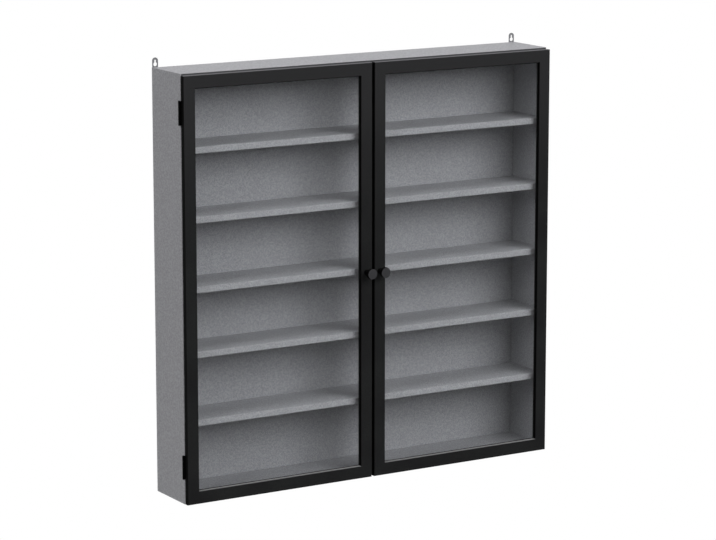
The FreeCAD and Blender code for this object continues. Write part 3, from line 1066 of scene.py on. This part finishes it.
@dataclass
class GlazedDoor:
    """One door: a welded frame of folded profiles round a pane. Sizes in millimetres."""

    side: Side
    knob: TurnedKnob = field(default_factory=TurnedKnob)
    screw: CrossScrew = field(default_factory=CrossScrew)
    clip_screw_inset: float = 18.5
    stile_shares: tuple[float, float] = (0.25, 0.75)
    rail_share: float = 0.5
    arris: float = 0.5
    seal_width: float = 8.0
    seal_round: float = 0.5
    seal_steps: int = 5
    tape_thickness: float = 0.4
    tape_round: float = 0.25
    front_bend: float = 1.2
    bead_start: float = 2.0
    bead_end: float = 21.0
    bead_width: float = 1.6
    bead_height: float = 0.35
    bead_sink: float = 0.05
    bead_ripple: float = 2.4
    bead_swing: float = 0.15
    bead_tip: float = 0.15
    bead_taper: float = 8.0
    bead_steps: int = 40
    bead_facets: int = 5
    lip_reach: float = 2.0
    lip_thickness: float = 1.2
    lip_inset: float = 1.6
    lip_round: float = 0.3
    lip_margin: float = 1.5

    def build(self) -> None:
        """Paint the frame, glaze it and fit its small parts."""
        for member in ("door_hinge_stile", "door_lock_stile", "door_top_rail", "door_bottom_rail"):
            dress(self.side.node(member), BLACK_COAT)
        dress(self.side.node("knob_screw"), ZINC)
        dress(self.side.node("pane_clips"), ZINC)
        dress(self.side.node("door_magnets"), FERRITE)
        self.knob.build(self.side)
        self.pane().finished()
        self.seal().finished()
        self.setting_tape().finished()
        self.clip_screws().finished()
        self.mitre_welds().finished()
        if self.side is Side.RIGHT:
            self.meeting_lip().finished()

    def outer(self) -> tuple[Vector, Vector]:
        """Find the corners of the door frame.

        Returns:
            Its lowest and highest corner.
        """
        boxes = [node_box(self.side.node(n)) for n in ("door_hinge_stile", "door_lock_stile")]
        low = Vector(map(min, boxes[0][0], boxes[1][0]))
        high = Vector(map(max, boxes[0][1], boxes[1][1]))
        return low, high

    def pane(self) -> Fitting:
        """Cut the pane with arrised edges, clear on its faces and ground on its edges.

        Returns:
            The pane.
        """
        node = self.side.node("glass_pane")
        low, high = node_box(node)
        pane = Fitting(self.side.node("arrised_pane"), self.side.body, [GLASS, GLASS_EDGE], Slot.GLASS,
                       [node], smooth_deg=20.0)
        cut = self.arris
        profile = [(cut, low.y), (0, low.y + cut), (0, high.y - cut), (cut, high.y)]
        pane.framed(profile, low, high, filled=True)
        pane.mesh.normal_update()
        for face in pane.mesh.faces:
            face.material_index = 0 if abs(face.normal.y) > LOOKS_FULLY else 1
        return pane

    def seal(self) -> Fitting:
        """Run the seal round the window, with its seen edge rounded.

        Returns:
            The seal.
        """
        node = self.side.node("glazing_seal")
        low, high = node_box(node)
        seal = Fitting(self.side.node("round_edged_seal"), self.side.body, [EPDM], Slot.RUBBER, [node])
        nose, middle = self.seal_width - self.seal_round, (low.y + high.y) / 2
        turns = [math.pi * (0.5 - i / self.seal_steps) for i in range(self.seal_steps + 1)]
        arc = [(nose + self.seal_round * math.cos(t), middle + self.seal_round * math.sin(t)) for t in turns]
        seal.framed([(0, low.y), (0, high.y)] + arc, low, high)
        return seal

    def setting_tape(self) -> Fitting:
        """Lay the tape that the pane is set on along the bottom rail, in front of the seal; its light grey is
        painted top light on the sill.

        Returns:
            The tape.
        """
        low, high = self.outer()
        rail = node_box(self.side.node("door_bottom_rail"))[1].z
        front, back = low.y + self.front_bend, node_box(self.side.node("glazing_seal"))[0].y
        inset = rail - low.z
        edge, top = self.tape_round, rail + self.tape_thickness
        section = [(front, rail), (back, rail), (back, top), (front + edge, top), (front, top - edge)]
        tape = Fitting(self.side.node("setting_tape"), self.side.body, [SETTING_TAPE], Slot.RUBBER)
        tape.extruded(*([(x, y, z) for y, z in section] for x in (low.x + inset, high.x - inset)))
        return tape

    def clip_screws(self) -> Fitting:
        """Drive a cross-recess screw into each pane clip.

        Returns:
            The six screws.
        """
        node = self.side.node("clip_screws")
        low, high = self.outer()
        seat = node_box(node)[1].y - self.screw.head_height
        inset = self.clip_screw_inset
        heights = [low.z + (high.z - low.z) * share for share in self.stile_shares]
        middle = low.x + (high.x - low.x) * self.rail_share
        spots = [(x, z) for x in (low.x + inset, high.x - inset) for z in heights]
        spots += [(middle, z) for z in (low.z + inset, high.z - inset)]
        screws = Fitting(self.side.node("cross_recess_screws"), self.side.body, [ZINC], Slot.ZINC, [node],
                         smooth_deg=30.0)
        screws.copied(self.screw.mesh(), [Facing.WALL.at(x, seat, z) for x, z in spots])
        return screws

    def mitre_welds(self) -> Fitting:
        """Lay a thin rippled bead along each mitre on the back of the frame.

        Returns:
            The four beads.
        """
        low, high = self.outer()
        beads = Fitting(self.side.node("mitre_welds"), self.side.body, [BLACK_COAT], Slot.BLACK,
                        smooth_deg=60.0)
        shares = [i / self.bead_steps for i in range(self.bead_steps + 1)]
        for x, inward_x in ((low.x, 1), (high.x, -1)):
            for z, inward_z in ((low.z, 1), (high.z, -1)):
                run = Vector((inward_x, 0, inward_z))
                across = Vector((inward_x, 0, -inward_z)).normalized()
                rings: list[Ring] = []
                for share in shares:
                    along = self.bead_start + (self.bead_end - self.bead_start) * share
                    centre = Vector((x, high.y, z)) + run * along
                    rings.append([beads.mesh.verts.new(centre + across * side + Vector((0, up, 0)))
                                  for side, up in self.bead_arc(share)])
                beads.lofted(rings, capped=True)
        return beads

    def bead_arc(self, share: float) -> Outline:
        """Draw the bead's round back at one place along it.

        Args:
            share: How far along the bead, from 0 to 1.

        Returns:
            How far each point lies to the side and out from the frame.
        """
        ripples = (self.bead_end - self.bead_start) * share / self.bead_ripple
        swell = 1 - self.bead_swing * (1 - math.cos(2 * math.pi * ripples))
        swell *= min(1.0, self.bead_taper * min(share, 1 - share) + self.bead_tip)
        half, height = self.bead_width / 2 * swell, self.bead_height * swell
        turns = [math.pi * i / self.bead_facets for i in range(self.bead_facets + 1)]
        return [(half * math.cos(t), height * math.sin(t) - self.bead_sink) for t in turns]

    def meeting_lip(self) -> Fitting:
        """Run a soft black lip down the edge where the doors meet, which closes the gap between them and puts
        a dark part where the gap lies in shade: painted shade.

        Returns:
            The lip.
        """
        low, high = self.outer()
        root, tip = low.x, low.x - self.lip_reach
        back = high.y - self.lip_inset
        front, edge = back - self.lip_thickness, self.lip_round
        section = [(root, front), (root, back), (tip + edge, back), (tip, back - edge), (tip, front + edge),
                   (tip + edge, front)]
        # The lip's black rubber stands for the shade in the gap between the doors: painted shade.
        lip = Fitting(self.side.node("meeting_lip"), self.side.body, [EPDM], Slot.RUBBER)
        lip.extruded(*([(x, y, z) for x, y in section]
                       for z in (low.z + self.lip_margin, high.z - self.lip_margin)))
        return lip


@dataclass
class Softbox:
    """A soft rectangular lamp. Metres and watts."""

    name: str
    place: Point
    aim: Point
    size: tuple[float, float]
    watts: float

    def hang(self) -> None:
        """Hang the lamp and turn it to its aim."""
        lamp = bpy.data.lights.new(self.name, "AREA")
        lamp.shape = "RECTANGLE"
        lamp.size, lamp.size_y = self.size
        lamp.energy = self.watts
        hung = bpy.data.objects.new(self.name, lamp)
        hung.location = self.place
        hung.rotation_euler = (Vector(self.aim) - Vector(self.place)).to_track_quat("-Z", "Y").to_euler()
        hung.visible_camera = False
        hung.visible_glossy = False
        bpy.context.scene.collection.objects.link(hung)
        LOG.info("%s: %g W", self.name, self.watts)


@dataclass
class Studio:
    """The plain white studio: floor, room light, lamps and camera. Metres and degrees, or as a name says."""

    floor_drop: float = 0.95
    floor_radius: float = 2.2
    floor_facets: int = 96
    room_strength: float = 0.055
    camera_place: Point = (-3.5002, -5.8737, 0.8013)
    camera_yaw: float = 31.159
    camera_pitch: float = -11.008
    camera_reach: float = 100.0
    sensor_mm: float = 36.0
    focal_pixels: float = 2894.1
    image_pixels: int = 716
    lamps: Sequence[Softbox] = (
        Softbox("front_softbox", (1.65, -5.8, 2.55), aim=(0.0, -0.1, -0.5), size=(6.0, 3.5), watts=321.0),
        Softbox("top_softbox", (0.0, -0.65, 3.45), aim=(0.0, -0.1, -0.5), size=(2.2, 2.2), watts=65.0),
        Softbox("left_softbox", (-5.7, -1.6, 2.25), aim=(0.0, -0.1, -0.5), size=(3.4, 3.4), watts=164.0),
        Softbox("rear_softbox", (4.0, 4.8, -0.8), aim=(0.0, 0.0, -0.6), size=(5.0, 2.0), watts=230.0),
    )

    def build(self) -> None:
        """Set up the studio."""
        bpy.context.scene.view_settings.view_transform = "Standard"
        self.surround()
        self.lay_floor()
        for lamp in self.lamps:
            lamp.hang()
        self.set_camera()

    def surround(self) -> None:
        """Surround the cabinet with white that is seen at full strength and lights more softly."""
        world = bpy.data.worlds.new("white_studio")
        world.use_nodes = True
        tree = world.node_tree
        tree.nodes.clear()
        room = add_node(tree, "ShaderNodeBackground",
                        {"Color": linear(WHITE), "Strength": self.room_strength})
        seen = add_node(tree, "ShaderNodeBackground", {"Color": linear(WHITE), "Strength": 1.0})
        both = add_node(tree, "ShaderNodeMixShader",
                        {0: seen_by_eye(tree), 1: room.outputs[0], 2: seen.outputs[0]})
        add_node(tree, "ShaderNodeOutputWorld", {"Surface": both.outputs[0]})
        bpy.context.scene.world = world

    def lay_floor(self) -> None:
        """Lay a round pale floor below the cabinet."""
        form = bmesh.new()
        bmesh.ops.create_circle(form, cap_ends=True, segments=self.floor_facets, radius=self.floor_radius)
        mesh = bpy.data.meshes.new("studio_floor")
        form.to_mesh(mesh)
        form.free()
        mesh.materials.append(FLOOR_PAINT.material())
        floor = bpy.data.objects.new("studio_floor", mesh)
        floor.location = (0, 0, CAD_BOX[0].z - self.floor_drop)
        bpy.context.scene.collection.objects.link(floor)

    def set_camera(self) -> None:
        """Stand the camera where the photograph was taken from."""
        lens = bpy.data.cameras.new("camera")
        lens.sensor_width = self.sensor_mm
        lens.lens = self.focal_pixels / self.image_pixels * self.sensor_mm
        lens.clip_end = self.camera_reach
        camera = bpy.data.objects.new("camera", lens)
        camera.location = self.camera_place
        camera.rotation_euler = (math.radians(90 + self.camera_pitch), 0, math.radians(-self.camera_yaw))
        bpy.context.scene.collection.objects.link(camera)
        bpy.context.scene.camera = camera


def main() -> None:
    """Build the cabinet piece by piece, then the studio round it."""
    logging.basicConfig(level=logging.INFO, format="%(name)s: %(message)s")
    Carcass().build()
    Hangers().build()
    for side in Side:
        GlazedDoor(side).build()
        for level in Level:
            BarrelHinge(side, level).build()
    Studio().build()


if __name__ == "__main__":
    main()
